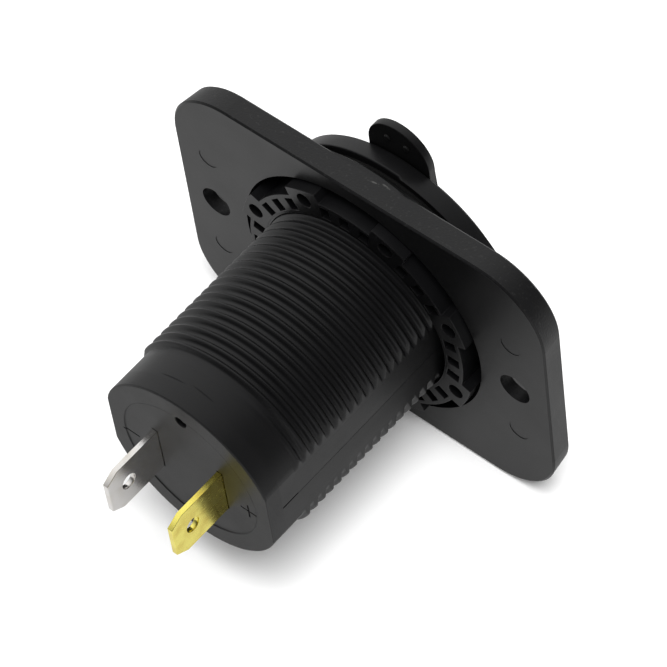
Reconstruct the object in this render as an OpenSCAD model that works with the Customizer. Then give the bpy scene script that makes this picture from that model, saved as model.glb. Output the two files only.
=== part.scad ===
// Dual USB power socket on a screw-down panel, for a 12 V car or boat circuit.
// X runs along the panel, +Y points out of its back towards the terminals, +Z is up.
// The origin is the middle of the panel's back face, halfway between the two screw holes.

/* [Panel] */
// Length of the panel, across both screw holes
panel_w = 59.6; // [58:0.1:80]
// Height of the panel
panel_h = 42.8; // [42:0.1:60]
// Radius of the panel's corners on the back face
corner_r = 9.8; // [6:0.1:14]
// Thickness of the panel at its edge
panel_t = 3.7; // [3.4:0.1:6]
// How far the sides lean in from back to front
side_draft = 0.4; // [0:0.05:1]
// Width of the small chamfer round the panel's edges
edge_chamfer = 0.25; // [0.1:0.05:0.5]
// Height of the raised boss that the socket's flange sits on
boss_rise = 2.1; // [1:0.1:4]
// How much wider the boss is at its foot than at its top, on the radius
boss_flare = 3.2; // [1:0.1:5]
// Distance between the two screw holes
screw_spacing = 48.9; // [46:0.1:49.8]
// Diameter of each screw hole
screw_hole_d = 4.6; // [3.2:0.1:5]
// Diameter of the countersink for the screw's head
screw_head_d = 8.4; // [7:0.1:9]
// Depth of the round recess for the ring nut
recess_depth = 3; // [1.5:0.1:3.2]
// Gap round the nut's lugs in the recess
recess_gap = 0.4; // [0.2:0.05:0.8]
// Diameter of the ejector marks on the back face
ejector_d = 3; // [2:0.1:4]
// Distance of the ejector marks above and below the screw holes
ejector_rise = 9; // [7:0.1:11]

/* [Threaded barrel] */
// Outside diameter of the thread
thread_d = 28.6; // [28:0.1:31]
// Distance from one thread crest to the next
thread_pitch = 1.5; // [1:0.1:2]
// Depth of the thread
thread_depth = 0.58; // [0.3:0.02:0.7]
// Length of the barrel behind the flange
barrel_len = 37; // [36:0.1:50]
// Plain length of barrel between the flange and the thread
neck_len = 2.65; // [2:0.05:5]
// Plain length of barrel behind the thread
tail_len = 2.8; // [2:0.1:6]
// Diameter of the plain tail and of the rear cap
tail_d = 27.4; // [27:0.1:27.6]
// Width across the barrel's two flats
flats_w = 25.8; // [25.4:0.1:27]
// Wall thickness of the barrel
wall_t = 1.4; // [1:0.1:1.6]
// Wall left between the round mouth and the barrel's flats
mouth_wall = 0.8; // [0.6:0.1:1]
// Width of the ledge behind the face insert
ledge_w = 0.8; // [0.4:0.1:1]
// Width of the moulding's parting groove along each flat
parting_w = 0.25; // [0.15:0.05:0.4]
// Play of the barrel in the panel's hole, on the radius
hole_play = 0.3; // [0.2:0.05:0.6]

/* [Front flange and cap] */
// Diameter of the flange
flange_d = 37; // [36:0.1:40]
// Thickness of the flange
flange_t = 2.7; // [2:0.1:4]
// How much smaller the flange is at its front edge, on the radius
flange_taper = 0.25; // [0.1:0.05:1]
// Thickness of the gasket
gasket_t = 0.8; // [0.5:0.1:1.5]
// How far the gasket's edge stands back from the flange's edge
gasket_setback = 0.9; // [0.5:0.1:2]
// Depth of the mouth in front of the ports
mouth_depth = 2.6; // [2.6:0.1:4]
// Thickness of the cap's disc at its edge
cap_t = 1.3; // [1:0.1:2]
// Rise of the cap's domed front
cap_dome = 0.6; // [0.2:0.1:1.2]
// How far the cap's edge stands back from the flange's front edge
cap_setback = 2.3; // [0.3:0.1:2.6]
// Gap between the closed cap and the flange
cap_gap = 0.1; // [0.05:0.05:0.3]
// Depth of the ring that plugs the mouth
plug_depth = 2; // [1.2:0.1:2.4]
// Wall thickness of the plug ring
plug_wall = 1.1; // [0.8:0.1:2]
// Gap between the plug ring and the mouth
plug_gap = 0.3; // [0.3:0.05:0.6]
// Width of the lift tab, which is also its round end's diameter
tab_w = 9.7; // [7:0.1:12]
// Reach of the lift tab above the barrel's centre line
tab_reach = 23.4; // [22:0.1:26]
// Thickness of the lift tab
tab_t = 1.15; // [1:0.05:1.3]
// Diameter of the hinge pin
pin_d = 1.5; // [1.2:0.1:1.8]
// Clearance between the pin and the cap's knuckle, on the radius
pin_clearance = 0.05; // [0.02:0.01:0.1]
// Width of the cap's knuckle
knuckle_w = 6; // [4:0.1:8]
// Thickness of each hinge ear on the housing
ear_t = 2.2; // [1.5:0.1:3]

/* [Ring nut] */
// Thickness of the nut
nut_t = 4.4; // [3.6:0.1:6]
// Width of the nut's ring outside the thread
nut_ring_w = 3; // [2.6:0.1:3.2]
// Reach of the lugs beyond the ring
lug_reach = 1.4; // [0.8:0.1:1.6]
// Width of each lug
lug_w = 5.4; // [4.4:0.1:6]
// Number of lugs
lug_count = 8; // [4:2:8]
// Diameter of the hole in each lug
lug_hole_d = 2.2; // [1.6:0.1:2.4]
// Depth of the cores in the nut's back face
core_depth = 2.8; // [1:0.1:3.2]
// Number of radial cores between two lugs
cores_between = 3; // [1:1:3]
// Width of each radial core
core_w = 1.5; // [1:0.1:1.6]
// Thread play of the nut on the barrel, on the radius
thread_play = 0.12; // [0.08:0.01:0.2]

/* [Rear cap and blades] */
// Thickness of the rear cap
rear_cap_t = 2.5; // [2:0.1:4]
// Length of the rear cap's skirt inside the barrel
skirt_len = 2; // [1:0.1:3]
// Diameter of the small vent hole in the rear cap
vent_d = 1.8; // [1:0.1:2]
// Height of the vent hole above the centre line
vent_rise = 10; // [9:0.1:10.2]
// Diameter of the faint step on the rear face
rear_step_d = 21.4; // [20:0.1:22]
// Distance between the two blades
blade_spacing = 10.5; // [10:0.1:12]
// Width of each blade
blade_w = 7.5; // [4.8:0.1:8]
// Thickness of each blade
blade_t = 0.8; // [0.5:0.1:1]
// Length of each blade behind the rear face
blade_len = 9.2; // [7:0.1:12]
// Length of the chamfers at each blade's tip
blade_chamfer = 1.9; // [1:0.1:2.2]
// Diameter of the detent hole in each blade
blade_hole_d = 2.2; // [1.5:0.1:2.6]
// Distance of the detent hole from the rear face
blade_hole_out = 5.8; // [4:0.1:6.2]

/* [USB ports and board] */
// Outside width of each port's shell
port_w = 13.2; // [12.8:0.1:13.6]
// Outside height of each port's shell
port_h = 5.7; // [5.4:0.1:6]
// Length of each port's shell
port_len = 14; // [13:0.1:16]
// Sheet thickness of the shell
shell_t = 0.3; // [0.25:0.05:0.4]
// Thickness of the circuit board
board_t = 1.6; // [1:0.1:2]
// Length of the circuit board
board_len = 31.6; // [31:0.1:32]
// Thickness of the face insert
insert_t = 1.6; // [1.2:0.1:2]
// Diameter of the light pipe
light_pipe_d = 2; // [1.5:0.1:2.4]
// Diameter of the choke
choke_d = 7.8; // [6:0.1:8]
// Height of the choke
choke_h = 4.5; // [3:0.1:6]
// Diameter of each capacitor
cap_can_d = 6.3; // [5:0.1:6.5]
// Height of each capacitor
cap_can_h = 7.7; // [5:0.1:8]

/* [Hidden] */
$fn = 96;
small = 0.01;

// Places along Y, from the front to the back
seat_y = -panel_t - boss_rise;
flange_back_y = seat_y - gasket_t;
flange_front_y = flange_back_y - flange_t;
cap_back_y = flange_front_y - cap_gap;
cap_front_y = cap_back_y - cap_t;
insert_front_y = flange_front_y + mouth_depth;
insert_back_y = insert_front_y + insert_t;
thread_start_y = flange_back_y + neck_len;
housing_back_y = flange_back_y + barrel_len;
thread_turns = floor((housing_back_y - tail_len - thread_start_y) / thread_pitch);
rear_y = housing_back_y + rear_cap_t;
nut_front_y = -recess_depth;
nut_back_y = nut_front_y + nut_t;

// Radii
thread_r = thread_d / 2;
root_r = thread_r - thread_depth;
bore_r = root_r - wall_t - 0.12;
bore_flat = flats_w / 2 - wall_t;
mouth_r = flats_w / 2 - mouth_wall;
bore_side = min(bore_flat, bore_r - 0.1);
ledge_r = bore_side - ledge_w;
ledge_t = 0.8;
nut_ring_r = thread_r + nut_ring_w;
lug_r = nut_ring_r + lug_reach;
recess_r = lug_r + recess_gap;
flange_r = flange_d / 2;
gasket_r = flange_r - gasket_setback;
boss_top_r = gasket_r + 0.8;
cap_r = flange_r - flange_taper - cap_setback;
plug_r = mouth_r - plug_gap;

// Hinge of the cap: the pin lies below the flange, level with its front face
knuckle_r = pin_d / 2 + 0.65;
hinge_y = cap_back_y - 0.6;
hinge_z = -flange_r - knuckle_r - 0.3;
ear_in = knuckle_w / 2 + 0.3;
ear_out = ear_in + ear_t;

// Board and ports: the receptacles sit back to back on the board
board_gap = 0.3;
board_half_w = bore_side - board_gap;
rail_w = 1;
board_front_y = insert_back_y + ledge_t + 0.4;
board_back_y = board_front_y + board_len;
port_front_y = insert_front_y + 0.1;
port_back_y = port_front_y + port_len;
port_z = board_t / 2 + port_h / 2;
tongue_back_y = port_back_y - shell_t - 2;
tongue_t = 1.84;
tongue_w = 11.1;
block_len = 3;
tongue_lift = 0.85;
contact_w = 1;
contact_t = 0.25;
contact_x = [-3.5, -1, 1, 3.5];
pipe_x = (port_w / 2 + bore_side - rail_w) / 2;
lamp_h = 1;
drum_end_t = 0.8;
coil_inset = 0.5;
choke_y = port_back_y + choke_d / 2 + 1.2;
can_y = choke_y + choke_d / 2 + cap_can_d / 2 + 0.8;
chip_w = 3.9;
chip_len = 4.9;
chip_h = 1.6;
leg_w = 0.4;
leg_t = 0.2;
leg_pitch = 1.27;

// A flat shape drawn in X and Z, thickened from y0 to y1
module slab(y0, y1) translate([0, y1, 0]) rotate([90, 0, 0]) linear_extrude(y1 - y0) children();

// A ring turned about the barrel's axis from points of radius and Y
module turned(points) rotate([-90, 0, 0]) rotate_extrude() polygon(points);

// A rod along Y
module rod(r, y0, y1, x = 0, z = 0) translate([x, y0, z]) rotate([-90, 0, 0]) cylinder(r = r, h = y1 - y0);

// A rod along X
module cross_rod(r, x0, x1, y, z) translate([x0, y, z]) rotate([0, 90, 0]) cylinder(r = r, h = x1 - x0, $fn = 48);

module block(low, high) translate(low) cube(high - low);

module round_rect(w, h, r) {
  square([w - 2 * r, h], center = true);
  square([w, h - 2 * r], center = true);
  for (sx = [-1, 1], sz = [-1, 1]) translate([sx * (w / 2 - r), sz * (h / 2 - r)]) circle(r, $fn = 32);
}

// Keeps what lies between the barrel's two flats
module between_flats(half, y0, y1, r) block([-half, y0, -r], [half, y1, r]);

// One layer of the panel: from y0, set in by in0, to y1, set in by in1
module panel_layer(y0, in0, y1, in1) {
  cx = panel_w / 2 - corner_r;
  cz = panel_h / 2 - corner_r;
  for (sx = [-1, 1], sz = [-1, 1])
    translate([sx * cx, y0, sz * cz]) rotate([-90, 0, 0])
      cylinder(r1 = corner_r - in0, r2 = corner_r - in1, h = y1 - y0);
  translate([0, 0, -cz]) linear_extrude(2 * cz) polygon([
    [-panel_w / 2 + in0, y0], [panel_w / 2 - in0, y0], [panel_w / 2 - in1, y1], [-panel_w / 2 + in1, y1]]);
  translate([-cx, 0, 0]) rotate([90, 0, 90]) linear_extrude(2 * cx) polygon([
    [y0, -panel_h / 2 + in0], [y0, panel_h / 2 - in0], [y1, panel_h / 2 - in1], [y1, -panel_h / 2 + in1]]);
}

module panel_plate() {
  c = edge_chamfer;
  panel_layer(-panel_t, side_draft + c, c - panel_t, side_draft);
  panel_layer(c - panel_t, side_draft, -c, 0);
  panel_layer(-c, 0, 0, c);
}

// The boss is a low cone, cut off where the panel's sides cut it
module panel_boss() intersection() {
  foot_r = boss_top_r + boss_flare;
  foot_y = edge_chamfer - panel_t;
  turned([[0, foot_y], [foot_r, foot_y], [foot_r, -panel_t], [boss_top_r, seat_y], [0, seat_y]]);
  block([-panel_w, seat_y - 1, side_draft - panel_h / 2], [panel_w, 0, panel_h / 2 - side_draft]);
}

module mounting_panel() color("dimgray") difference() {
  union() {
    panel_plate();
    panel_boss();
  }
  // The hole is keyed to the barrel's flats
  intersection() {
    rod(thread_r + hole_play, seat_y - 1, 1);
    between_flats(flats_w / 2 + hole_play, seat_y - 2, 2, thread_r + 1);
  }
  rod(recess_r, -recess_depth, 1);
  for (side = [-1, 1]) translate([side * screw_spacing / 2, 0, 0]) {
    head_r = screw_head_d / 2;
    hole_r = screw_hole_d / 2;
    rod(hole_r, seat_y - 1, 1);
    turned([[0, seat_y - 1], [head_r, seat_y - 1], [head_r, -panel_t],
      [hole_r, head_r - hole_r - panel_t], [0, head_r - hole_r - panel_t]]);
    for (up = [-1, 1]) rod(ejector_d / 2, -0.06, 1, 0, up * ejector_rise);
  }
}

// Half section of the thread's ridges, root_r to thread_r, as points of radius and Y
function ridges(low, high, start, turns) = [
  for (k = [0 : turns - 1], p = [[0.16, low], [0.42, high], [0.58, high], [0.84, low]])
    [p[1], start + (k + p[0]) * thread_pitch]];

module barrel_blank() {
  tail_r = tail_d / 2;
  thread_end_y = thread_start_y + thread_turns * thread_pitch;
  turned(concat(
    [[0, flange_back_y - small], [thread_r, flange_back_y - small], [thread_r, thread_start_y - 0.6],
     [root_r, thread_start_y]],
    ridges(root_r, thread_r, thread_start_y, thread_turns),
    [[tail_r, thread_end_y], [tail_r, housing_back_y], [0, housing_back_y]]));
}

module housing_flange() {
  front_r = flange_r - flange_taper;
  corner = 0.15;
  turned([[0, flange_front_y], [front_r - corner, flange_front_y], [front_r, flange_front_y + corner],
    [flange_r, flange_back_y - 0.5], [flange_r, flange_back_y], [0, flange_back_y]]);
}

// Two ears carry the hinge pin under the flange
module hinge_ears() for (side = [-1, 1]) difference() {
  union() {
    x0 = side > 0 ? ear_in : -ear_out;
    cross_rod(knuckle_r, x0, x0 + ear_t, hinge_y, hinge_z);
    block([x0, hinge_y, hinge_z], [x0 + ear_t, flange_back_y - 0.4, 1.5 - flange_r]);
    block([x0, hinge_y, hinge_z - knuckle_r], [x0 + ear_t, flange_back_y - 1.2, hinge_z + small]);
  }
  cross_rod(pin_d / 2 + 0.02, -ear_out - 1, ear_out + 1, hinge_y, hinge_z);
  // The cap's disc passes in front of the flange
  block([-ear_out - 1, hinge_y - knuckle_r - 1, hinge_z + knuckle_r + small],
    [ear_out + 1, flange_front_y, 0]);
}

// Two pairs of rails hold the board's long edges
module board_rails() for (side = [-1, 1], up = [-1, 1]) {
  root_w = 0.3;
  rail_h = 1;
  z_in = board_t / 2 + 0.15;
  x0 = side > 0 ? bore_side - rail_w : -bore_side - root_w;
  z0 = up > 0 ? z_in : -z_in - rail_h;
  block([x0, insert_back_y + small, z0], [x0 + rail_w + root_w, housing_back_y - skirt_len - 0.5, z0 + rail_h]);
}

// The round mouth takes the insert, a ledge stops it, and the wide bore behind takes the board
module barrel_bore() {
  intersection() {
    rod(bore_r, insert_back_y + ledge_t, housing_back_y + 1);
    between_flats(bore_flat, insert_back_y, housing_back_y + 1, bore_r + 1);
  }
  rod(ledge_r, insert_back_y - 1, insert_back_y + ledge_t + 1);
  rod(mouth_r, flange_front_y - 1, insert_back_y);
}

// The mould's parting line shows as a fine groove along the middle of each flat
module parting_grooves() for (side = [-1, 1]) {
  x = side * flats_w / 2;
  depth = 0.15;
  block([x - depth, 0, -parting_w / 2], [x + depth, housing_back_y + 1, parting_w / 2]);
}

module socket_housing() color([0.16, 0.16, 0.17]) {
  difference() {
    union() {
      housing_flange();
      intersection() {
        barrel_blank();
        between_flats(flats_w / 2, flange_back_y - 1, housing_back_y + 1, thread_r + 1);
      }
    }
    barrel_bore();
    parting_grooves();
  }
  hinge_ears();
  board_rails();
}

// The skilled moulding: lugs with cored holes, ribs between radial cores, and the thread inside
module ring_nut() color([0.13, 0.13, 0.14]) difference() {
  step = 360 / lug_count;
  core_step = step / (cores_between + 1);
  first = step / 2;
  union() {
    rod(nut_ring_r, nut_front_y, nut_back_y);
    intersection() {
      rod(lug_r, nut_front_y, nut_back_y);
      for (k = [0 : lug_count / 2 - 1]) rotate([0, first + k * step, 0])
        block([-lug_r - 1, nut_front_y, -lug_w / 2], [lug_r + 1, nut_back_y, lug_w / 2]);
    }
  }
  nut_turns = ceil(nut_t / thread_pitch) + 2;
  first_turn = floor((nut_front_y - thread_start_y) / thread_pitch) - 1;
  start = thread_start_y + first_turn * thread_pitch;
  turned(concat([[0, start]], ridges(root_r + thread_play, thread_r + thread_play, start, nut_turns),
    [[0, start + nut_turns * thread_pitch]]));
  // A countersunk start for the thread at each face
  lead_r = thread_r + thread_play + 0.1;
  for (lead = [[nut_front_y, 1], [nut_back_y, -1]])
    turned([[0, lead[0] - lead[1]], [lead_r, lead[0] - lead[1]], [lead_r, lead[0]],
      [root_r, lead[0] + 0.9 * lead[1]], [0, lead[0] + 0.9 * lead[1]]]);
  for (k = [0 : lug_count - 1]) rotate([0, first + k * step, 0]) {
    hole_r = lug_hole_d / 2;
    rod(hole_r, nut_back_y - core_depth - 0.4, nut_back_y + 1, nut_ring_r - 0.4, 0);
    for (c = [1 : cores_between]) rotate([0, c * core_step, 0])
      block([thread_r + 0.55, nut_back_y - core_depth, -core_w / 2], [nut_ring_r - 0.6, nut_back_y + 1, core_w / 2]);
  }
}

module flange_gasket() color([0.05, 0.05, 0.05]) difference() {
  rod(gasket_r, flange_back_y, seat_y);
  rod(thread_r + 0.1, flange_back_y - 1, seat_y + 1);
}

module face_insert() color([0.1, 0.1, 0.11]) difference() {
  rod(mouth_r - 0.05, insert_front_y, insert_back_y);
  for (up = [-1, 1]) translate([0, 0, up * port_z]) slab(insert_front_y - 1, insert_back_y + 1)
    round_rect(port_w + 0.2, port_h + 0.2, 0.6);
  rod(light_pipe_d / 2 + 0.05, insert_front_y - 1, insert_back_y + 1, pipe_x, 0);
}

module flip_cap() color([0.19, 0.19, 0.2]) difference() {
  union() {
    // Domed disc with a rounded edge
    turned([[0, cap_back_y], [cap_r, cap_back_y], [cap_r, cap_front_y + 0.5], [cap_r - 0.15, cap_front_y + 0.2],
      [cap_r - 0.6, cap_front_y], [cap_r / 2, cap_front_y - cap_dome * 0.75], [0, cap_front_y - cap_dome]]);
    turned([[plug_r - plug_wall, cap_back_y - small], [plug_r, cap_back_y - small],
      [plug_r, cap_back_y + plug_depth - 0.4], [plug_r - 0.3, cap_back_y + plug_depth],
      [plug_r - plug_wall, cap_back_y + plug_depth]]);
    end_z = tab_reach - tab_w / 2;
    slab(cap_back_y - tab_t, cap_back_y) {
      translate([0, end_z]) circle(tab_w / 2);
      translate([-tab_w / 2, cap_r - 3]) square([tab_w, end_z - cap_r + 3]);
    }
    for (side = [-1, 1]) rod(0.45, cap_back_y - small, cap_back_y + 0.25, side * 1.5, end_z + 2.2);
    cross_rod(knuckle_r, -knuckle_w / 2, knuckle_w / 2, hinge_y, hinge_z);
    block([-knuckle_w / 2, hinge_y - knuckle_r + 0.3, hinge_z], [knuckle_w / 2, cap_back_y, 2 - cap_r]);
  }
  cross_rod(pin_d / 2 + pin_clearance, -knuckle_w, knuckle_w, hinge_y, hinge_z);
}

module hinge_pin() color("silver") cross_rod(pin_d / 2, -ear_out, ear_out, hinge_y, hinge_z);

// A folded steel shell, open at the front, with a pair of spring leaves in each broad side
module usb_shell() color([0.75, 0.75, 0.76]) {
  leaf_len = 4.2;
  leaf_w = 1.8;
  leaf_y = port_front_y + 3;
  difference() {
    slab(port_front_y, port_back_y) round_rect(port_w, port_h, 0.6);
    slab(port_front_y - 1, port_back_y - shell_t) round_rect(port_w - 2 * shell_t, port_h - 2 * shell_t, 0.35);
    for (side = [-1, 1]) translate([side * 3, 0, 0])
      block([-leaf_w / 2 - 0.3, leaf_y, -port_h], [leaf_w / 2 + 0.3, leaf_y + leaf_len, port_h]);
    block([-5, port_back_y - 2.2, -port_h], [5, port_back_y - shell_t, 0]);
  }
  for (side = [-1, 1], up = [-1, 1]) mirror([0, 0, up > 0 ? 0 : 1])
    translate([side * 3 - leaf_w / 2, leaf_y + leaf_len + 0.2, port_h / 2 - shell_t]) rotate([5, 0, 0])
      translate([0, -leaf_len, 0]) cube([leaf_w, leaf_len, shell_t]);
}

// One contact: a spring strip under the tongue, through its block and down to the board
module usb_contact(x) {
  top = tongue_lift - tongue_t / 2;
  leg_y = tongue_back_y + 0.9;
  block([x - contact_w / 2, port_front_y + 2, top - contact_t], [x + contact_w / 2, leg_y, top]);
  block([x - contact_w / 2, leg_y - contact_t, -port_h / 2], [x + contact_w / 2, leg_y, top]);
}

module usb_contacts() color("gold") for (x = contact_x) usb_contact(x);

// The tongue with its block, which has a slot for each contact
module usb_tongue() color([0.92, 0.92, 0.9]) difference() {
  inset = shell_t + 0.05;
  union() {
    block([-tongue_w / 2, port_front_y + 1.2, tongue_lift - tongue_t / 2],
      [tongue_w / 2, tongue_back_y, tongue_lift + tongue_t / 2]);
    block([inset - port_w / 2, tongue_back_y - block_len, shell_t + 0.3 - port_h / 2],
      [port_w / 2 - inset, tongue_back_y, port_h / 2 - shell_t - 0.3]);
  }
  for (x = contact_x) usb_contact(x);
}

module upper_port() translate([0, 0, port_z]) children();
module lower_port() mirror([0, 0, 1]) translate([0, 0, port_z]) children();

module usb_shell_upper() upper_port() usb_shell();
module usb_shell_lower() lower_port() usb_shell();
module usb_tongue_upper() upper_port() usb_tongue();
module usb_tongue_lower() lower_port() usb_tongue();
module usb_contacts_upper() upper_port() usb_contacts();
module usb_contacts_lower() lower_port() usb_contacts();

module circuit_board() color("darkgreen")
  block([-board_half_w, board_front_y, -board_t / 2], [board_half_w, board_back_y, board_t / 2]);

// The choke's drum: two flanges and a core, wound between them
module inductor_core() color([0.2, 0.2, 0.2]) translate([0, choke_y, board_t / 2]) rotate_extrude()
  polygon([[0, 0], [choke_d / 2, 0], [choke_d / 2, drum_end_t], [choke_d / 4, drum_end_t],
    [choke_d / 4, choke_h - drum_end_t], [choke_d / 2, choke_h - drum_end_t], [choke_d / 2, choke_h], [0, choke_h]]);

module inductor_coil() color("chocolate") translate([0, choke_y, board_t / 2]) rotate_extrude()
  polygon([[choke_d / 4, drum_end_t], [choke_d / 2 - coil_inset, drum_end_t],
    [choke_d / 2 - coil_inset, choke_h - drum_end_t], [choke_d / 4, choke_h - drum_end_t]]);

// An electrolytic can on its moulded foot, with the rolled neck near the foot
module capacitor() {
  r = cap_can_d / 2;
  rotate_extrude() polygon([[0, 0.6], [r, 0.6], [r, 1.5], [r - 0.4, 1.8], [r, 2.1], [r, cap_can_h - 0.3],
    [r - 0.3, cap_can_h], [0, cap_can_h]]);
  translate([-r, -r, 0]) cube([cap_can_d, cap_can_d, 0.6]);
}

module input_capacitor() color("silver") translate([0, can_y, board_t / 2]) capacitor();
module output_capacitor() color("silver") mirror([0, 0, 1]) translate([0, can_y, board_t / 2]) capacitor();

// Eight-legged converter under the choke
module converter_chip() color([0.1, 0.1, 0.1]) mirror([0, 0, 1]) translate([0, choke_y, board_t / 2]) {
  body_x = chip_w / 2;
  knee_x = body_x + 0.5;
  block([-body_x, -chip_len / 2, leg_t], [body_x, chip_len / 2, chip_h]);
  for (side = [-1, 1], k = [-1.5 : 1 : 1.5]) translate([0, k * leg_pitch, 0]) mirror([side > 0 ? 0 : 1, 0, 0]) {
    block([body_x, -leg_w / 2, chip_h / 2], [knee_x, leg_w / 2, chip_h / 2 + leg_t]);
    block([knee_x - leg_t, -leg_w / 2, 0], [knee_x, leg_w / 2, chip_h / 2 + leg_t]);
    block([knee_x - leg_t, -leg_w / 2, 0], [knee_x + 0.55, leg_w / 2, leg_t]);
  }
}

module schottky_diode() color([0.12, 0.12, 0.12]) mirror([0, 0, 1])
  translate([-board_half_w + 4.4, choke_y, board_t / 2]) {
    block([-1.3, -2.2, 0.15], [1.3, 2.2, 2.2]);
    for (side = [-1, 1]) translate([0, side * 2.2, 0]) block([-0.7, -0.4, 0], [0.7, 0.4, 0.9]);
  }

module chip_resistors() color([0.15, 0.15, 0.16]) mirror([0, 0, 1]) for (k = [0 : 2])
  translate([board_half_w - 4.4, choke_y - 2.4 + 2.4 * k, board_t / 2])
    block([-0.8, -0.4, 0], [0.8, 0.4, 0.5]);

module indicator_led() color("white") translate([pipe_x, board_front_y + 1.3, board_t / 2])
  block([-1, -0.8, 0], [1, 0.8, lamp_h]);

// A clear rod from the insert's face, with a foot over the lamp
module light_pipe() color("lightblue") {
  foot_front_y = board_front_y - 0.35;
  foot_back_y = board_front_y - 0.15;
  hood_z = board_t / 2 + lamp_h + 0.15;
  rod(light_pipe_d / 2, insert_front_y - 0.2, foot_back_y, pipe_x, 0);
  block([pipe_x - 1.2, foot_front_y, 0], [pipe_x + 1.2, foot_back_y, hood_z + 0.6]);
  block([pipe_x - 1.2, foot_front_y, hood_z], [pipe_x + 1.2, board_front_y + 2.2, hood_z + 0.6]);
}

module rear_cap() color([0.15, 0.15, 0.16]) {
  skirt_y = housing_back_y - skirt_len;
  skirt_r = bore_r - 0.1;
  skirt_flat = bore_flat - 0.1;
  difference() {
    union() {
      intersection() {
        turned([[0, housing_back_y], [tail_d / 2, housing_back_y], [tail_d / 2, rear_y - 0.2],
          [tail_d / 2 - 0.2, rear_y], [0, rear_y]]);
        between_flats(flats_w / 2, housing_back_y - 1, rear_y + 1, tail_d);
      }
      intersection() {
        rod(skirt_r, skirt_y, housing_back_y + small);
        between_flats(skirt_flat, skirt_y, rear_y, tail_d);
      }
    }
    intersection() {
      rod(skirt_r - 1.2, skirt_y - 1, housing_back_y);
      between_flats(skirt_flat - 1.2, skirt_y - 2, rear_y, tail_d);
    }
    rod(rear_step_d / 2, rear_y - 0.12, rear_y + 1);
    rod(vent_d / 2, skirt_y - 1, rear_y + 1, 0, vent_rise);
    for (side = [-1, 1])
      block([side * blade_spacing / 2 - blade_t / 2 - 0.05, housing_back_y - 1, -blade_w / 2 - 0.05],
        [side * blade_spacing / 2 + blade_t / 2 + 0.05, rear_y + 1, blade_w / 2 + 0.05]);
  }
}

// Stamped blade: chamfered tip, detent hole, and a forked tail soldered over the board's edge
module blade(x) {
  half = blade_w / 2;
  tip_y = rear_y + blade_len;
  tail_half = 2.2;
  tail_y = board_back_y - 2;
  translate([x - blade_t / 2, 0, 0]) difference() {
    rotate([90, 0, 90]) linear_extrude(blade_t) polygon([
      [housing_back_y + 0.3, -half], [tip_y - blade_chamfer, -half], [tip_y, blade_chamfer * 0.6 - half],
      [tip_y, half - blade_chamfer * 0.6], [tip_y - blade_chamfer, half], [housing_back_y + 0.3, half],
      [housing_back_y + 0.3, tail_half], [tail_y, tail_half], [tail_y, board_t / 2], [board_back_y, board_t / 2],
      [board_back_y, -board_t / 2], [tail_y, -board_t / 2], [tail_y, -tail_half],
      [housing_back_y + 0.3, -tail_half]]);
    cross_rod(blade_hole_d / 2, -1, blade_t + 1, rear_y + blade_hole_out, 0);
  }
}

module negative_blade() color("silver") blade(blade_spacing / 2);
module positive_blade() color([0.85, 0.7, 0.35]) blade(-blade_spacing / 2);

mounting_panel();
socket_housing();
ring_nut();
flange_gasket();
face_insert();
flip_cap();
hinge_pin();
usb_shell_upper();
usb_shell_lower();
usb_tongue_upper();
usb_tongue_lower();
usb_contacts_upper();
usb_contacts_lower();
circuit_board();
inductor_core();
inductor_coil();
input_capacitor();
output_capacitor();
converter_chip();
schottky_diode();
chip_resistors();
indicator_led();
light_pipe();
rear_cap();
negative_blade();
positive_blade();
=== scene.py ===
import math

import bmesh
import bpy
from mathutils import Matrix, Vector


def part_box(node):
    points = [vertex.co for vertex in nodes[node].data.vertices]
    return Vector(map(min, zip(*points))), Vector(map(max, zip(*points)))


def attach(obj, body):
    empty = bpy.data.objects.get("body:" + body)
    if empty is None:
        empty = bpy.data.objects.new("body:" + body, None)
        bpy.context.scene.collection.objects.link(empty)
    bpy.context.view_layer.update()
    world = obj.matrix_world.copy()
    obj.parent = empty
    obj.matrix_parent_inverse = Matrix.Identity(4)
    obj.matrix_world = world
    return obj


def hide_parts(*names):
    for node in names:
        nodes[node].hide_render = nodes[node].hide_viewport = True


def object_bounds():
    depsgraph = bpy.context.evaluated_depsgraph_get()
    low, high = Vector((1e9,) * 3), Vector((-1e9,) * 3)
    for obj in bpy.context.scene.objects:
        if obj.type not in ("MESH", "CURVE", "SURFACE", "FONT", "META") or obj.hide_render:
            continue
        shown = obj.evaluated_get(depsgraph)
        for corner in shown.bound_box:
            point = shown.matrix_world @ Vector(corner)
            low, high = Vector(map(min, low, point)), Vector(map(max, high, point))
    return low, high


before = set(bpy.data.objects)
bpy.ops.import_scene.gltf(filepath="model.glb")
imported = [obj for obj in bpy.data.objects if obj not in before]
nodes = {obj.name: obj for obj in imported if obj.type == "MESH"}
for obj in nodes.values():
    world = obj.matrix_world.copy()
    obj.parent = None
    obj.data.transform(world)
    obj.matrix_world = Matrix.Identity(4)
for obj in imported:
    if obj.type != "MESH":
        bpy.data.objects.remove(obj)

MM = 0.001
scene = bpy.context.scene
cad_low, cad_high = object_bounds()

# Camera
# The photograph looks down on the back of the panel from above its left end, through a long lens.
eye = Vector((-224.49, 210.76, 415.53)) * MM
view_line = Vector((0.4348, -0.3967, -0.8085)).normalized()
image_right = view_line.cross(Vector((0.4828, -0.6552, 0.5811))).normalized()
image_up = image_right.cross(view_line)
camera = bpy.data.objects.new("camera", bpy.data.cameras.new("camera"))
camera.data.lens = 223.07
camera.data.sensor_width = 36
camera.data.clip_start = 0.05
camera.data.clip_end = 10
camera.matrix_world = Matrix.Translation(eye) @ Matrix((image_right, image_up, -view_line)).transposed().to_4x4()
scene.collection.objects.link(camera)
scene.camera = camera

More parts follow.
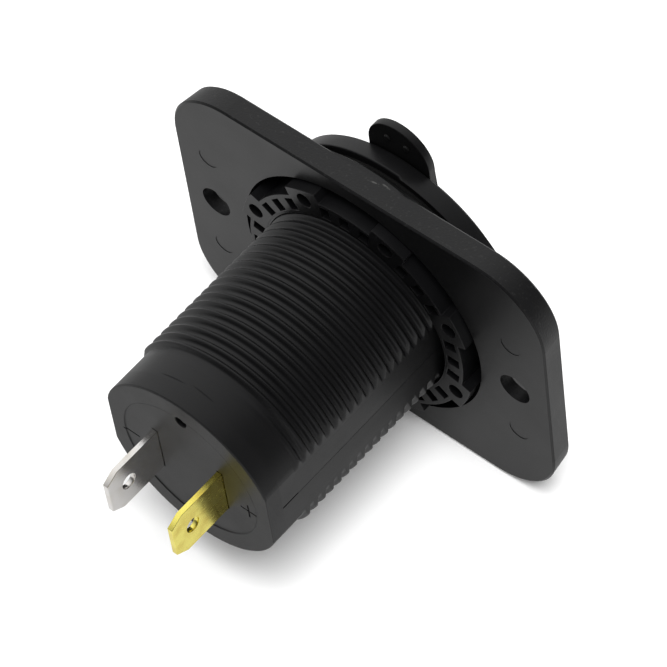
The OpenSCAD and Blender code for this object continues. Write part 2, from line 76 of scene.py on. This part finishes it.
# Floor and studio light
# A white table fills the view, with a step down in front of the panel where the open cap hangs.
# The room is brightest overhead and to the picture's left, and one big soft lamp lights the table, which the
# camera sees paler than the plastic mirrors it.
scene.view_settings.view_transform = "Standard"
floor_gap = 0.1 * MM
floor_half = 1.5
table_edge = -7.5 * MM
cap_drop = 42 * MM
table_glow = 0.1
room_light = Vector((0.83, -0.5, 0.83))
room_shift = -0.13
room_least = 0.12
lamp_place = Vector((-0.28, 0.18, 0.95))
lamp_size = 0.6
lamp_power = 12.5
seen_floor = 0.9
mirrored_floor = 0.5
floor_z = cad_low.z - floor_gap
floor_mesh = bpy.data.meshes.new("floor")
low_z = floor_z - cap_drop
floor_line = [(floor_half, floor_z), (table_edge, floor_z), (table_edge, low_z), (-floor_half, low_z)]
floor_mesh.from_pydata([(x, y, z) for y, z in floor_line for x in (-floor_half, floor_half)], [],
                       [(0, 2, 3, 1), (2, 4, 5, 3), (4, 6, 7, 5)])
floor = bpy.data.objects.new("floor", floor_mesh)
scene.collection.objects.link(floor)
floor_paint = bpy.data.materials.new("white table")
floor_paint.use_nodes = True
floor_shader = floor_paint.node_tree.nodes["Principled BSDF"]
floor_tree = floor_paint.node_tree
floor_shade = floor_tree.nodes.new("ShaderNodeMapRange")
floor_shade.inputs["To Min"].default_value = mirrored_floor
floor_shade.inputs["To Max"].default_value = seen_floor
floor_tree.links.new(floor_tree.nodes.new("ShaderNodeLightPath").outputs["Is Camera Ray"], floor_shade.inputs["Value"])
floor_tree.links.new(floor_shade.outputs["Result"], floor_shader.inputs["Base Color"])
floor_shader.inputs["Roughness"].default_value = 0.9
floor_shader.inputs["Specular IOR Level"].default_value = 0
floor_shader.inputs["Emission Color"].default_value = (1, 1, 1, 1)
floor_shader.inputs["Emission Strength"].default_value = table_glow
floor_mesh.materials.append(floor_paint)

world = bpy.data.worlds.new("pale room")
world.use_nodes = True
room = world.node_tree
towards_light = room.nodes.new("ShaderNodeVectorMath")
towards_light.operation = "DOT_PRODUCT"
towards_light.inputs[1].default_value = room_light
room_level = room.nodes.new("ShaderNodeMath")
room_level.inputs[1].default_value = room_shift
room_floor = room.nodes.new("ShaderNodeMath")
room_floor.operation = "MAXIMUM"
room_floor.inputs[1].default_value = room_least
room.links.new(room.nodes.new("ShaderNodeTexCoord").outputs["Generated"], towards_light.inputs[0])
room.links.new(towards_light.outputs["Value"], room_level.inputs[0])
room.links.new(room_level.outputs[0], room_floor.inputs[0])
room.links.new(room_floor.outputs[0], room.nodes["Background"].inputs["Strength"])
room.nodes["Background"].inputs["Color"].default_value = (1, 1, 1, 1)
scene.world = world

lamp = bpy.data.lights.new("table lamp", "AREA")
lamp.size = lamp_size
lamp.energy = lamp_power
lamp_holder = bpy.data.objects.new("table lamp", lamp)
lamp_holder.location = lamp_place
lamp_holder.rotation_euler = (-lamp_place).to_track_quat("-Z", "Y").to_euler()
lamp_holder.visible_glossy = False
scene.collection.objects.link(lamp_holder)

# Mounting panel
# One moulding of black nylon, sand-blasted on its drafted sides and satin on its back.
# The screw holes are countersunk from the front, and four ejector pins left faint rings on the back.


def maths(tree, operation, *values, clamp=False):
    """One sum in a node tree, of sockets and plain numbers."""
    step = tree.nodes.new("ShaderNodeMath")
    step.operation = operation
    step.use_clamp = clamp
    for socket, value in zip(step.inputs, values):
        if isinstance(value, bpy.types.NodeSocket):
            tree.links.new(value, socket)
        else:
            socket.default_value = value
    return step.outputs[0]


def spread(tree, value, low, high, to_low=0.0, to_high=1.0):
    """Carries value from the range low to high over to the range to_low to to_high, held at both ends."""
    step = tree.nodes.new("ShaderNodeMapRange")
    for name, number in (("From Min", low), ("From Max", high), ("To Min", to_low), ("To Max", to_high)):
        if isinstance(number, bpy.types.NodeSocket):
            tree.links.new(number, step.inputs[name])
        else:
            step.inputs[name].default_value = number
    tree.links.new(value, step.inputs["Value"])
    return step.outputs["Result"]


def noise(tree, place, size_mm, detail=3.0, stretch=(1, 1, 1)):
    """Noise with features of about size_mm, drawn out along an axis where stretch is under 1."""
    turn = tree.nodes.new("ShaderNodeMapping")
    turn.inputs["Scale"].default_value = [s / (size_mm * MM) for s in stretch]
    step = tree.nodes.new("ShaderNodeTexNoise")
    step.inputs["Scale"].default_value = 1
    step.inputs["Detail"].default_value = detail
    tree.links.new(place, turn.inputs["Vector"])
    tree.links.new(turn.outputs["Vector"], step.inputs["Vector"])
    return step.outputs["Fac"]


def patch(tree, place, centre_mm, half_mm, turn_deg=(0, 0, 0)):
    """1 inside a stretched ball at centre_mm, falling to 0 at its edge."""
    turn = tree.nodes.new("ShaderNodeMapping")
    turn.vector_type = "TEXTURE"
    turn.inputs["Location"].default_value = [c * MM for c in centre_mm]
    turn.inputs["Rotation"].default_value = [math.radians(d) for d in turn_deg]
    turn.inputs["Scale"].default_value = [h * MM for h in half_mm]
    ball = tree.nodes.new("ShaderNodeTexGradient")
    ball.gradient_type = "SPHERICAL"
    tree.links.new(place, turn.inputs["Vector"])
    tree.links.new(turn.outputs["Vector"], ball.inputs["Vector"])
    return spread(tree, ball.outputs["Fac"], 0, 0.35)


def blend_colour(tree, share, first, second):
    mix = tree.nodes.new("ShaderNodeMix")
    mix.data_type = "RGBA"
    tree.links.new(share, mix.inputs[0])
    for socket, value in ((mix.inputs[6], first), (mix.inputs[7], second)):
        if isinstance(value, bpy.types.NodeSocket):
            tree.links.new(value, socket)
        else:
            socket.default_value = (*value, 1)
    return mix.outputs[2]


def plastic(name, shade, rough, grain_mm, grain_depth_mm, speck=0.0):
    """A moulded plastic: fine grain in its surface, a faint drift of shade and gloss, and pale specks."""
    material = bpy.data.materials.new(name)
    material.use_nodes = True
    tree = material.node_tree
    shader = tree.nodes["Principled BSDF"]
    shader.inputs["Specular IOR Level"].default_value = 0.3
    place = tree.nodes.new("ShaderNodeTexCoord").outputs["Object"]
    drift = noise(tree, place, 5)
    deep = [c * 0.75 for c in shade]
    light = [c * 1.25 for c in shade]
    colour = blend_colour(tree, drift, deep, light)
    grain = noise(tree, place, grain_mm, 2)
    if speck:
        dust = spread(tree, noise(tree, place, grain_mm * 1.5, 2), 0.62, 0.8)
        colour = blend_colour(tree, dust, colour, [speck] * 3)
    tree.links.new(colour, shader.inputs["Base Color"])
    gloss = maths(tree, "ADD", spread(tree, drift, 0.2, 0.8, rough - 0.04, rough + 0.04),
                  spread(tree, grain, 0.2, 0.8, -0.02, 0.02))
    tree.links.new(gloss, shader.inputs["Roughness"])
    bump = tree.nodes.new("ShaderNodeBump")
    bump.name = "grain"
    bump.inputs["Distance"].default_value = grain_depth_mm * MM
    tree.links.new(grain, bump.inputs["Height"])
    tree.links.new(bump.outputs["Normal"], shader.inputs["Normal"])
    return material


def paint(node, material):
    """Gives a CAD node its material."""
    nodes[node].data.materials.clear()
    nodes[node].data.materials.append(material)


nylon = plastic("black nylon", (0.0045, 0.0045, 0.0048), 0.42, 0.28, 0.03, speck=0.02)
nylon_tree = nylon.node_tree
nylon_shader = nylon_tree.nodes["Principled BSDF"]
nylon_place = nylon_tree.nodes["Texture Coordinate"].outputs["Object"]
nylon_axes = nylon_tree.nodes.new("ShaderNodeSeparateXYZ")
nylon_tree.links.new(nylon_place, nylon_axes.inputs["Vector"])
back_face = spread(nylon_tree, nylon_axes.outputs["Y"], -0.2 * MM, -0.14 * MM)
blasted_rough = nylon_shader.inputs["Roughness"].links[0].from_socket
satin_rough = spread(nylon_tree, noise(nylon_tree, nylon_place, 7), 0.3, 0.7, 0.29, 0.35)
rough_mix = nylon_tree.nodes.new("ShaderNodeMix")
nylon_tree.links.new(back_face, rough_mix.inputs[0])
nylon_tree.links.new(blasted_rough, rough_mix.inputs[2])
nylon_tree.links.new(satin_rough, rough_mix.inputs[3])
nylon_tree.links.new(rough_mix.outputs[0], nylon_shader.inputs["Roughness"])
grain_strength = spread(nylon_tree, back_face, 0, 1, 1, 0.12)
nylon_tree.links.new(grain_strength, nylon_tree.nodes["grain"].inputs["Strength"])
# Two short scuffs on the top side
scuffs = maths(nylon_tree, "ADD",
               patch(nylon_tree, nylon_place, (-1.7, -2.9, 21.1), (0.9, 0.14, 0.6), (0, 0, 12)),
               patch(nylon_tree, nylon_place, (-3.4, -3.3, 21.1), (0.8, 0.16, 0.6), (0, 0, -8)), clamp=True)
broken = maths(nylon_tree, "MULTIPLY", scuffs, spread(nylon_tree, noise(nylon_tree, nylon_place, 0.3), 0.4, 0.55))
plain_colour = nylon_shader.inputs["Base Color"].links[0].from_socket
nylon_tree.links.new(blend_colour(nylon_tree, broken, plain_colour, (0.05, 0.05, 0.048)),
                     nylon_shader.inputs["Base Color"])
paint("mounting_panel", nylon)

# Threaded barrel
# The socket's housing is one moulding: a round flange, a barrel with a helical thread, and two full-length flats.
# The thread is the real one, right-handed, with thin crests, and it runs out before the plain tail.


def make_thread_tree():
    """A closed sleeve with a helical thread on its first side and a plain wall on the other."""
    tree = bpy.data.node_groups.new("helical thread", "GeometryNodeTree")
    tree.interface.new_socket("Geometry", in_out="OUTPUT", socket_type="NodeSocketGeometry")
    for name in ("Start", "Pitch", "Turns", "Root radius", "Depth", "Half width", "Ends", "Wall radius",
                 "Wall half width"):
        tree.interface.new_socket(name, in_out="INPUT", socket_type="NodeSocketFloat")
    tree.interface.new_socket("Plastic", in_out="INPUT", socket_type="NodeSocketMaterial")
    given = tree.nodes.new("NodeGroupInput").outputs
    segments = 216
    rows = 12
    turns = given["Turns"]
    ends = given["Ends"]

    def grid(columns, count):
        sheet = tree.nodes.new("GeometryNodeMeshGrid")
        sheet.inputs["Size X"].default_value = 1
        sheet.inputs["Size Y"].default_value = 1
        sheet.inputs["Vertices Y"].default_value = count
        if isinstance(columns, bpy.types.NodeSocket):
            tree.links.new(columns, sheet.inputs["Vertices X"])
        else:
            sheet.inputs["Vertices X"].default_value = columns
        at = tree.nodes.new("ShaderNodeSeparateXYZ")
        tree.links.new(tree.nodes.new("GeometryNodeInputPosition").outputs[0], at.inputs[0])
        return sheet.outputs["Mesh"], maths(tree, "ADD", at.outputs["X"], 0.5), maths(tree, "ADD", at.outputs["Y"], 0.5)

    def turned(sheet, turn, radius, along, half):
        angle = maths(tree, "MULTIPLY", turn, math.tau)
        wide = maths(tree, "MULTIPLY", radius, maths(tree, "SINE", angle))
        held = maths(tree, "MAXIMUM", maths(tree, "MINIMUM", wide, half), maths(tree, "MULTIPLY", half, -1))
        point = tree.nodes.new("ShaderNodeCombineXYZ")
        tree.links.new(held, point.inputs["X"])
        tree.links.new(maths(tree, "MULTIPLY_ADD", along, given["Pitch"], given["Start"]), point.inputs["Y"])
        tree.links.new(maths(tree, "MULTIPLY", radius, maths(tree, "COSINE", angle)), point.inputs["Z"])
        place = tree.nodes.new("GeometryNodeSetPosition")
        tree.links.new(sheet, place.inputs["Geometry"])
        tree.links.new(point.outputs[0], place.inputs["Position"])
        return place.outputs[0]

    # The thread's sheet: one pitch wide, wound over two turns more than show, so that both ends close
    wound = maths(tree, "ADD", maths(tree, "CEIL", turns), 2)
    sheet, across, share = grid(maths(tree, "MULTIPLY_ADD", wound, segments, 1), rows + 1)
    turn = maths(tree, "SUBTRACT", maths(tree, "MULTIPLY", across, wound), 1)
    along = maths(tree, "MINIMUM", maths(tree, "MAXIMUM", maths(tree, "ADD", turn, share), 0), turns)
    off_crest = maths(tree, "ABSOLUTE", maths(tree, "SUBTRACT", share, 0.5))
    flank = maths(tree, "MULTIPLY", maths(tree, "SUBTRACT", 0.33, off_crest), 4)
    ridge = maths(tree, "SMOOTH_MAX", maths(tree, "SMOOTH_MIN", flank, 1, 0.15), 0, 0.2)
    rise = maths(tree, "MULTIPLY", maths(tree, "SUBTRACT", turn, 0.05), 4, clamp=True)
    last = maths(tree, "SUBTRACT", turns, 1.05)
    fall = maths(tree, "MULTIPLY", maths(tree, "SUBTRACT", last, turn), 4, clamp=True)
    full = maths(tree, "MULTIPLY", rise, fall)
    height = maths(tree, "ADD", maths(tree, "MULTIPLY", ridge, full),
                   maths(tree, "MULTIPLY", maths(tree, "SUBTRACT", 1, full), ends))
    radius = maths(tree, "MULTIPLY_ADD", height, given["Depth"], given["Root radius"])
    thread = turned(sheet, turn, radius, along, given["Half width"])

    # The plain wall and the two end rings
    sheet, across, share = grid(segments + 1, 4)
    row = maths(tree, "MULTIPLY", share, 3)
    on_wall = maths(tree, "LESS_THAN", maths(tree, "ABSOLUTE", maths(tree, "SUBTRACT", row, 1.5)), 1)
    end_radius = maths(tree, "MULTIPLY_ADD", ends, given["Depth"], given["Root radius"])
    radius = spread(tree, on_wall, 0, 1, end_radius, given["Wall radius"])
    half = spread(tree, on_wall, 0, 1, given["Half width"], given["Wall half width"])
    along = maths(tree, "MULTIPLY", maths(tree, "GREATER_THAN", row, 1.5), turns)
    wall = turned(sheet, across, radius, along, half)

    join = tree.nodes.new("GeometryNodeJoinGeometry")
    tree.links.new(wall, join.inputs[0])
    tree.links.new(thread, join.inputs[0])
    weld = tree.nodes.new("GeometryNodeMergeByDistance")
    weld.inputs["Distance"].default_value = 0.002 * MM
    real = tree.nodes.new("GeometryNodeRealizeInstances")
    finish = tree.nodes.new("GeometryNodeSetMaterial")
    tree.links.new(join.outputs[0], weld.inputs["Geometry"])
    tree.links.new(weld.outputs[0], real.inputs[0])
    tree.links.new(real.outputs[0], finish.inputs["Geometry"])
    tree.links.new(given["Plastic"], finish.inputs["Material"])
    tree.links.new(finish.outputs[0], tree.nodes.new("NodeGroupOutput").inputs["Geometry"])
    return tree


def grown(name, tree, sizes):
    """The mesh that a tree makes from the named sizes, as a plain mesh with its faces turned outwards."""
    holder = bpy.data.objects.new(name, bpy.data.meshes.new(name))
    scene.collection.objects.link(holder)
    modifier = holder.modifiers.new(name, "NODES")
    modifier.node_group = tree
    for socket in tree.interface.items_tree:
        if socket.in_out == "INPUT":
            modifier[socket.identifier] = sizes[socket.name]
    bpy.context.view_layer.update()
    mesh = bpy.data.meshes.new_from_object(holder.evaluated_get(bpy.context.evaluated_depsgraph_get()))
    bpy.data.objects.remove(holder)
    shape = bmesh.new()
    shape.from_mesh(mesh)
    bmesh.ops.recalc_face_normals(shape, faces=shape.faces)
    shape.to_mesh(mesh)
    shape.free()
    return mesh


def merged(node):
    """A copy of a CAD node's mesh with its loose triangles joined and its flat faces whole."""
    shape = bmesh.new()
    shape.from_mesh(nodes[node].data)
    bmesh.ops.remove_doubles(shape, verts=shape.verts, dist=0.001 * MM)
    bmesh.ops.dissolve_limit(shape, angle_limit=math.radians(0.4), verts=shape.verts, edges=shape.edges)
    return shape


def eased(shape, width_mm, least_deg=50, steps=2, behind=-1.0):
    """Rounds the corners that are sharper than least_deg, where they lie behind that Y."""
    corners = [e for e in shape.edges if e.is_manifold and e.calc_face_angle() > math.radians(least_deg)
               and min(v.co.y for v in e.verts) > behind]
    bmesh.ops.bevel(shape, geom=corners, offset=width_mm * MM, segments=steps, profile=0.5, affect="EDGES",
                    clamp_overlap=False)
    return shape


def as_mesh(shape, name):
    mesh = bpy.data.meshes.new(name)
    shape.to_mesh(mesh)
    shape.free()
    return mesh


def cut(mesh, cutters):
    """mesh less each of the cutters."""
    holder = bpy.data.objects.new("blank", mesh)
    scene.collection.objects.link(holder)
    for cutter in cutters:
        tool = bpy.data.objects.new("cutter", cutter)
        scene.collection.objects.link(tool)
        modifier = holder.modifiers.new("cut", "BOOLEAN")
        modifier.operation = "DIFFERENCE"
        modifier.solver = "EXACT"
        modifier.object = tool
        bpy.context.view_layer.update()
        result = bpy.data.meshes.new_from_object(holder.evaluated_get(bpy.context.evaluated_depsgraph_get()))
        holder.modifiers.clear()
        holder.data = result
        bpy.data.objects.remove(tool)
    result = holder.data
    bpy.data.objects.remove(holder)
    return result


def ring(inner, outer, y0, y1, segments=144):
    """A plain ring about the barrel's axis."""
    shape = bmesh.new()
    corners = [(inner, y0), (outer, y0), (outer, y1), (inner, y1)]
    loops = []
    for k in range(segments):
        angle = math.tau * k / segments
        loops.append([shape.verts.new((r * math.sin(angle), y, r * math.cos(angle))) for r, y in corners])
    for k in range(segments):
        here, there = loops[k], loops[(k + 1) % segments]
        for c in range(4):
            shape.faces.new((here[c], here[(c + 1) % 4], there[(c + 1) % 4], there[c]))
    bmesh.ops.recalc_face_normals(shape, faces=shape.faces)
    return as_mesh(shape, "ring")


def finished(name, meshes, material, body, slot, *replaced, smooth_deg=40):
    """One piece from the meshes, smooth except at its corners, riding on its body in place of CAD nodes."""
    shape = bmesh.new()
    for mesh in meshes:
        shape.from_mesh(mesh)
    for face in shape.faces:
        face.smooth = True
        face.material_index = 0
    whole = as_mesh(shape, name)
    whole.set_sharp_from_angle(angle=math.radians(smooth_deg))
    whole.materials.clear()
    whole.materials.append(material)
    piece = bpy.data.objects.new(name, whole)
    scene.collection.objects.link(piece)
    even = piece.modifiers.new("even", "WEIGHTED_NORMAL")
    even.keep_sharp = True
    bpy.context.view_layer.update()
    piece.data = bpy.data.meshes.new_from_object(piece.evaluated_get(bpy.context.evaluated_depsgraph_get()))
    piece.modifiers.clear()
    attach(piece, body)
    if replaced:
        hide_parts(*replaced)
    return piece


# The thread's sizes follow the socket's drawing
thread_radius = 14.3 * MM
tail_radius = 13.7 * MM
thread_pitch = 1.5 * MM
thread_turns = 21
thread_start = -3.95 * MM
flats_half = 12.9 * MM
thread_depth = thread_radius - tail_radius
thread_end = thread_start + thread_turns * thread_pitch
sleeve_sink = 0.25 * MM

barrel_plastic = plastic("barrel plastic", (0.004, 0.004, 0.0043), 0.4, 0.2, 0.006)
barrel_tree = barrel_plastic.node_tree
barrel_shader = barrel_tree.nodes["Principled BSDF"]
barrel_place = barrel_tree.nodes["Texture Coordinate"].outputs["Object"]
# Dark rubbed streaks lie along the joint on top of the tail
streaks = maths(barrel_tree, "ADD",
                patch(barrel_tree, barrel_place, (3.3, 29.9, 13.4), (2.6, 0.12, 1.2), (0, 0, 2)),
                patch(barrel_tree, barrel_place, (-1.6, 29.6, 13.7), (2.2, 0.12, 1.0), (0, 0, -3)), clamp=True)
barrel_gloss = barrel_shader.inputs["Roughness"].links[0].from_socket
streaked_gloss = maths(barrel_tree, "MULTIPLY_ADD", streaks, 0.35, barrel_gloss)
barrel_tree.links.new(streaked_gloss, barrel_shader.inputs["Roughness"])

thread_tree = make_thread_tree()
barrel_thread = grown("barrel thread", thread_tree, {
    "Start": thread_start, "Pitch": thread_pitch, "Turns": float(thread_turns), "Root radius": tail_radius,
    "Depth": thread_depth, "Half width": flats_half - 0.02 * MM, "Ends": 0.0,
    "Wall radius": tail_radius - 2 * sleeve_sink, "Wall half width": flats_half - 2 * sleeve_sink,
    "Plastic": barrel_plastic})
ridge_zone = ring(tail_radius - sleeve_sink, thread_radius + 1 * MM, thread_start + 0.03 * MM, thread_end - 0.03 * MM)
housing_body = cut(as_mesh(merged("socket_housing"), "housing blank"), [ridge_zone])
finished("socket_housing_threaded", [housing_body, barrel_thread], barrel_plastic, "socket", "housing_plastic",
         "socket_housing")

# Ring nut
# A black nylon nut, moulded round an unscrewing core: eight lugs with a cored hole each, three radial cores and
# their ribs between two lugs, and the same helical thread inside, with its running play.
nut_plastic = plastic("nut plastic", (0.0042, 0.0042, 0.0046), 0.34, 0.2, 0.006)
nut_low, nut_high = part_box("ring_nut")
nut_play = 0.12 * MM
nut_turns = (nut_high.y - nut_low.y) / thread_pitch
turns_before = (nut_low.y - thread_start) / thread_pitch
nut_wall = thread_radius + 0.4 * MM
nut_thread = grown("nut thread", thread_tree, {
    "Start": nut_low.y, "Pitch": thread_pitch, "Turns": nut_turns, "Root radius": tail_radius + nut_play,
    "Depth": thread_depth, "Half width": 1.0, "Ends": 1.0, "Wall radius": nut_wall, "Wall half width": 1.0,
    "Plastic": nut_plastic})
nut_thread.transform(Matrix.Rotation(math.tau * (math.ceil(turns_before) - turns_before), 4, "Y"))
nut_bore = ring(0.5 * MM, nut_wall - 0.05 * MM, nut_low.y - 1 * MM, nut_high.y + 1 * MM, 216)
nut_body = cut(as_mesh(eased(merged("ring_nut"), 0.06), "nut blank"), [nut_bore])
finished("ring_nut_moulded", [nut_body, nut_thread], nut_plastic, "socket", "nut_plastic", "ring_nut")

# Flange gasket
# A flat ring of soft black rubber, squeezed between the panel's boss and the flange.
paint("flange_gasket", plastic("gasket rubber", (0.003, 0.003, 0.003), 0.75, 0.2, 0.02))

# Flip cap and its pin
# The lid is moulded in the panel's black nylon, with a round lift tab and two small grip pips under the tab.
# It swings on a drawn steel pin held in the housing's two ears.
cap_plastic = plastic("cap plastic", (0.004, 0.004, 0.0042), 0.4, 0.25, 0.015)
finished("flip_cap_eased", [as_mesh(eased(merged("flip_cap"), 0.1), "cap")], cap_plastic, "cap", "cap_plastic",
         "flip_cap")


def metal(name, shade, rough, scratch_mm, tarnish, stretch=(1, 1, 1), specks=0.0):
    """Plated or bare metal: fine scratches, a drift of gloss, and thin tarnish in patches."""
    material = bpy.data.materials.new(name)
    material.use_nodes = True
    tree = material.node_tree
    shader = tree.nodes["Principled BSDF"]
    shader.inputs["Metallic"].default_value = 1
    place = tree.nodes.new("ShaderNodeTexCoord").outputs["Object"]
    patches = spread(tree, noise(tree, place, 2.2, 4), 0.45, 0.75)
    colour = blend_colour(tree, patches, shade, tarnish)
    if specks:
        dots = spread(tree, noise(tree, place, 0.5, 2), specks, specks + 0.06)
        colour = blend_colour(tree, dots, colour, [c * 0.15 for c in shade])
    tree.links.new(colour, shader.inputs["Base Color"])
    lines = noise(tree, place, scratch_mm, 3, stretch)
    tree.links.new(spread(tree, lines, 0.3, 0.7, rough - 0.04, rough + 0.06), shader.inputs["Roughness"])
    bump = tree.nodes.new("ShaderNodeBump")
    bump.inputs["Distance"].default_value = 0.0004 * MM
    tree.links.new(lines, bump.inputs["Height"])
    tree.links.new(bump.outputs["Normal"], shader.inputs["Normal"])
    return material


paint("hinge_pin", metal("drawn steel", (0.6, 0.6, 0.6), 0.25, 0.1, (0.5, 0.5, 0.48), (0.1, 1, 1)))

# Face insert and light pipe
# A black disc pushed into the socket's mouth frames both ports, and a clear rod beside them shows the lamp.
paint("face_insert", plastic("insert plastic", (0.004, 0.004, 0.004), 0.35, 0.2, 0.01))
clear = plastic("clear plastic", (0.8, 0.88, 0.95), 0.12, 0.4, 0.002)
clear.node_tree.nodes["Principled BSDF"].inputs["Transmission Weight"].default_value = 0.85
clear.node_tree.nodes["Principled BSDF"].inputs["IOR"].default_value = 1.49
paint("light_pipe", clear)

# USB ports
# Each receptacle is a folded, nickel-plated steel shell round a white tongue with four gold-plated contacts.
port_steel = metal("port steel", (0.72, 0.71, 0.69), 0.2, 0.12, (0.62, 0.61, 0.58), (1, 0.15, 1))
tongue_plastic = plastic("tongue plastic", (0.75, 0.75, 0.71), 0.4, 0.3, 0.004)
contact_gold = metal("gold plate", (0.95, 0.72, 0.3), 0.18, 0.08, (0.85, 0.6, 0.25), (1, 0.1, 1))
for level in ("upper", "lower"):
    paint(f"usb_shell_{level}", port_steel)
    paint(f"usb_tongue_{level}", tongue_plastic)
    paint(f"usb_contacts_{level}", contact_gold)

# Circuit board and its parts
# Green solder mask over glass laminate carries the converter, its choke, two cans, a diode and the lamp.
laminate = plastic("solder mask", (0.01, 0.09, 0.035), 0.3, 0.6, 0.012)
paint("circuit_board", laminate)
paint("inductor_core", plastic("ferrite", (0.03, 0.03, 0.032), 0.55, 0.15, 0.03))
can_aluminium = metal("can aluminium", (0.78, 0.78, 0.79), 0.28, 0.15, (0.68, 0.68, 0.7), (1, 1, 0.1))
chip_epoxy = plastic("chip epoxy", (0.012, 0.012, 0.012), 0.5, 0.12, 0.01)
for can in ("input_capacitor", "output_capacitor"):
    paint(can, can_aluminium)
for chip in ("converter_chip", "schottky_diode", "chip_resistors"):
    paint(chip, chip_epoxy)
paint("indicator_led", plastic("lamp body", (0.75, 0.74, 0.6), 0.35, 0.3, 0.004))


def make_winding_tree():
    """Round wire wound in one close layer about an upright line, with closed ends."""
    tree = bpy.data.node_groups.new("wound wire", "GeometryNodeTree")
    tree.interface.new_socket("Geometry", in_out="OUTPUT", socket_type="NodeSocketGeometry")
    for name in ("Turns", "Coil radius", "Height", "Wire radius"):
        tree.interface.new_socket(name, in_out="INPUT", socket_type="NodeSocketFloat")
    tree.interface.new_socket("Wire", in_out="INPUT", socket_type="NodeSocketMaterial")
    given = tree.nodes.new("NodeGroupInput").outputs
    path = tree.nodes.new("GeometryNodeCurveSpiral")
    path.inputs["Resolution"].default_value = 32
    wire = tree.nodes.new("GeometryNodeCurvePrimitiveCircle")
    wire.inputs["Resolution"].default_value = 10
    sweep = tree.nodes.new("GeometryNodeCurveToMesh")
    sweep.inputs["Fill Caps"].default_value = True
    real = tree.nodes.new("GeometryNodeRealizeInstances")
    finish = tree.nodes.new("GeometryNodeSetMaterial")
    tree.links.new(given["Turns"], path.inputs["Rotations"])
    tree.links.new(given["Coil radius"], path.inputs["Start Radius"])
    tree.links.new(given["Coil radius"], path.inputs["End Radius"])
    tree.links.new(given["Height"], path.inputs["Height"])
    tree.links.new(given["Wire radius"], wire.inputs["Radius"])
    tree.links.new(path.outputs[0], sweep.inputs["Curve"])
    tree.links.new(wire.outputs["Curve"], sweep.inputs["Profile Curve"])
    tree.links.new(sweep.outputs[0], real.inputs[0])
    tree.links.new(real.outputs[0], finish.inputs["Geometry"])
    tree.links.new(given["Wire"], finish.inputs["Material"])
    tree.links.new(finish.outputs[0], tree.nodes.new("NodeGroupOutput").inputs["Geometry"])
    return tree


# The choke's winding lies between the drum's two ends
wire_copper = metal("enamelled copper", (0.62, 0.24, 0.09), 0.22, 0.1, (0.45, 0.15, 0.05))
coil_low, coil_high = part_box("inductor_coil")
coil_middle = (coil_low + coil_high) / 2
wire_radius = 0.22 * MM
coil_height = coil_high.z - coil_low.z - 2.3 * wire_radius
winding = grown("winding", make_winding_tree(), {
    "Turns": coil_height / (2.1 * wire_radius), "Coil radius": (coil_high.x - coil_low.x) / 2 - wire_radius,
    "Height": coil_height, "Wire radius": wire_radius, "Wire": wire_copper})
winding.transform(Matrix.Translation((coil_middle.x, coil_middle.y, coil_low.z + 1.15 * wire_radius)))
coil_inside = merged("inductor_coil")
for vert in coil_inside.verts:
    arm = Vector((vert.co.x - coil_middle.x, vert.co.y - coil_middle.y, 0))
    if arm.length > (coil_high.x - coil_low.x) / 2 - 0.1 * MM:
        vert.co -= arm.normalized() * wire_radius
finished("inductor_winding", [as_mesh(coil_inside, "coil inside"), winding], wire_copper, "socket", "coil_copper",
         "inductor_coil")

# Rear cap
# The end cap is welded into the barrel, with a small vent, two blade slots and the two polarity signs sunk into it.
cap_low, cap_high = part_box("rear_cap")
sign_depth = 0.16 * MM
sign_line = 0.26 * MM
sign_plus = Vector((-9.3, 0, -1.0)) * MM
sign_minus = Vector((9.75, 0, -0.5)) * MM
sign_length = 2.6 * MM


def bar(centre, wide, high):
    """A bar that cuts the sign's depth into the rear face."""
    shape = bmesh.new()
    bmesh.ops.create_cube(shape, size=1)
    bmesh.ops.scale(shape, vec=(wide, 2 * sign_depth, high), verts=shape.verts)
    bmesh.ops.translate(shape, vec=(centre.x, cap_high.y - 0.12 * MM, centre.z), verts=shape.verts)
    return as_mesh(shape, "bar")


rear_plastic = plastic("rear cap plastic", (0.0045, 0.0045, 0.0048), 0.44, 0.2, 0.01)
signs = [bar(sign_plus, sign_length, sign_line), bar(sign_plus, sign_line, sign_length),
         bar(sign_minus, sign_length, sign_line)]
rear_body = cut(as_mesh(eased(merged("rear_cap"), 0.1, behind=cap_high.y - 0.5 * MM), "rear blank"), signs)
finished("rear_cap_marked", [rear_body], rear_plastic, "socket", "rear_cap_plastic", "rear_cap")

# Blades
# Both are stamped from 0.8 mm strip, burnished along their length: nickel-plated for minus, bare brass for plus.
nickel = metal("nickel plate", (0.82, 0.8, 0.78), 0.2, 0.12, (0.7, 0.66, 0.6), (1, 0.12, 1))
brass = metal("brass", (0.98, 0.87, 0.2), 0.22, 0.12, (0.75, 0.58, 0.1), (1, 0.12, 1), specks=0.72)
finished("negative_blade_stamped", [as_mesh(eased(merged("negative_blade"), 0.07), "blade")], nickel, "socket",
         "blade_nickel", "negative_blade")
finished("positive_blade_stamped", [as_mesh(eased(merged("positive_blade"), 0.07), "blade")], brass, "socket",
         "blade_brass", "positive_blade")
